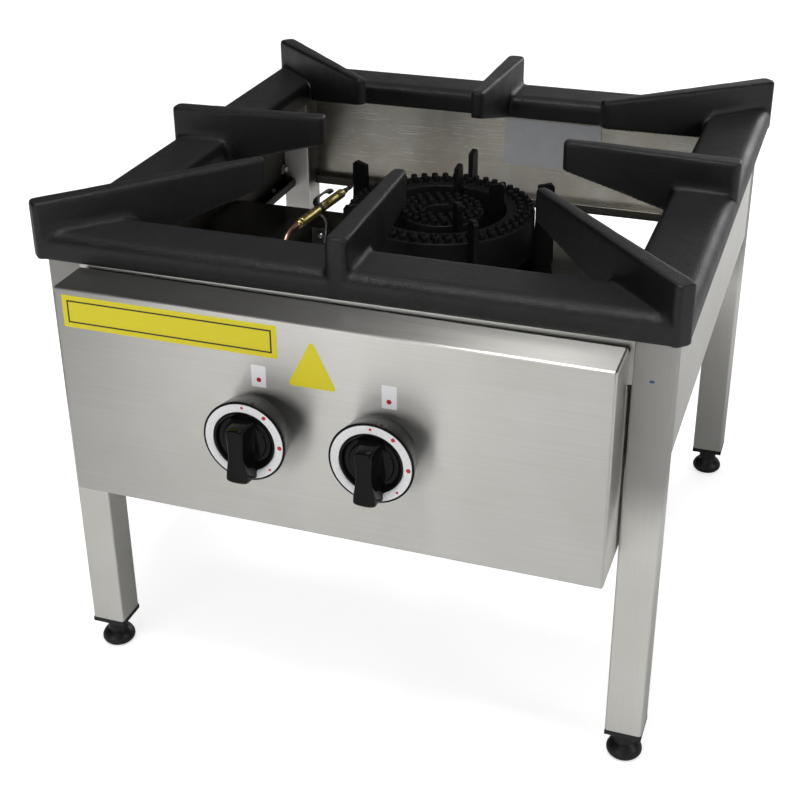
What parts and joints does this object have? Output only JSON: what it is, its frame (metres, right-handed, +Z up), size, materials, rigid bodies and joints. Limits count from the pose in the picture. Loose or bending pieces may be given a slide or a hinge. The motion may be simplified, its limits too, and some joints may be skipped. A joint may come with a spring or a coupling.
{
  "type": "stock pot range",
  "caption": "Low floor-standing gas pot range: square stainless frame, cast iron pot grate over a double ring burner, front control box with gas tap knobs, and levelling feet.",
  "frame": {"origin": "on the floor under the middle of the outer box", "axes": "+X to the right as seen from the knobs, +Y to the back, +Z up"},
  "size_m": [0.5204, 0.6012, 0.441],
  "materials": {
    "stainless": "fine horizontal brushing",
    "grate_iron": "matt black enamel over a cast surface",
    "burner_iron": "matt black, sooty",
    "black_plastic": "glossy",
    "foot_plastic": "satin moulding",
    "dial_white": "smooth white",
    "brass": "turned, bare",
    "copper": "bare copper pipe",
    "zinc": "zinc plated",
    "label": "plain silver foil"
  },
  "bodies": {
    "chassis": {"burner_plate": "stainless", "burner_spider": "burner_iron", "control_panel": "stainless", "front_rail": "stainless", "gas_inlet": "brass", "gas_manifold": "zinc", "heat_shield": "stainless", "inner_burner_ring": "burner_iron", "inner_mixing_tube": "grate_iron", "jet_left": "brass", "jet_right": "brass", "leg_front_left": "stainless", "leg_front_right": "stainless", "leg_plug_front_left": "foot_plastic", "leg_plug_front_right": "foot_plastic", "leg_plug_rear_left": "foot_plastic", "leg_plug_rear_right": "foot_plastic", "leg_rear_left": "stainless", "leg_rear_right": "stainless", "manifold_bracket_left": "zinc", "manifold_bracket_right": "zinc", "outer_burner_ring": "burner_iron", "outer_mixing_tube": "grate_iron", "pilot_body": "brass", "pilot_bracket": "burner_iron", "pilot_clip": "burner_iron", "pilot_pipe": "copper", "pilot_rod": "zinc", "pilot_screw": "zinc", "pilot_tip": "burner_iron", "plate_angle_left": "stainless", "plate_angle_right": "stainless", "rating_plate": "label", "rear_panel": "stainless", "side_panel_left": "stainless", "side_panel_right": "stainless", "tap_left": "brass", "tap_right": "brass"},
    "spindle_left": {"spindle_left": "zinc"},
    "knob_left": {"knob_left": "black_plastic", "dial_ring_left": "dial_white"},
    "shutter_left": {"air_shutter_left": "zinc"},
    "spindle_right": {"spindle_right": "zinc"},
    "knob_right": {"knob_right": "black_plastic", "dial_ring_right": "dial_white"},
    "shutter_right": {"air_shutter_right": "zinc"},
    "grate": {"pot_grate": "grate_iron"},
    "foot_front_left": {"foot_front_left": "foot_plastic"},
    "foot_front_right": {"foot_front_right": "foot_plastic"},
    "foot_rear_left": {"foot_rear_left": "foot_plastic"},
    "foot_rear_right": {"foot_rear_right": "foot_plastic"}
  },
  "joints": [
    {"name": "grate_lift", "type": "slide", "parent": "chassis", "child": "grate", "axis": [0, 0, 1], "range_m": [0, 0.12]},
    {"name": "knob_push_left", "type": "slide", "parent": "chassis", "child": "spindle_left", "axis": [0, 1, 0], "range_m": [0, 0.0035], "stiffness_N_per_m": 900, "springref_m": -0.004},
    {"name": "knob_turn_left", "type": "hinge", "parent": "spindle_left", "child": "knob_left", "pos_m": [-0.05, -0.2846, 0.295], "axis": [0, -1, 0], "range_deg": [0, 136]},
    {"name": "shutter_turn_left", "type": "hinge", "parent": "chassis", "child": "shutter_left", "pos_m": [-0.05, -0.1731, 0.288], "axis": [0, 1, 0], "range_deg": [0, 60]},
    {"name": "knob_push_right", "type": "slide", "parent": "chassis", "child": "spindle_right", "axis": [0, 1, 0], "range_m": [0, 0.0035], "stiffness_N_per_m": 900, "springref_m": -0.004},
    {"name": "knob_turn_right", "type": "hinge", "parent": "spindle_right", "child": "knob_right", "pos_m": [0.05, -0.2846, 0.295], "axis": [0, -1, 0], "range_deg": [0, 136]},
    {"name": "shutter_turn_right", "type": "hinge", "parent": "chassis", "child": "shutter_right", "pos_m": [0.05, -0.1731, 0.288], "axis": [0, 1, 0], "range_deg": [0, 60]},
    {"name": "foot_level_front_left", "type": "slide", "parent": "chassis", "child": "foot_front_left", "axis": [0, 0, -1], "range_m": [0, 0.012]},
    {"name": "foot_level_front_right", "type": "slide", "parent": "chassis", "child": "foot_front_right", "axis": [0, 0, -1], "range_m": [0, 0.012]},
    {"name": "foot_level_rear_left", "type": "slide", "parent": "chassis", "child": "foot_rear_left", "axis": [0, 0, -1], "range_m": [0, 0.012]},
    {"name": "foot_level_rear_right", "type": "slide", "parent": "chassis", "child": "foot_rear_right", "axis": [0, 0, -1], "range_m": [0, 0.012]}
  ]
}
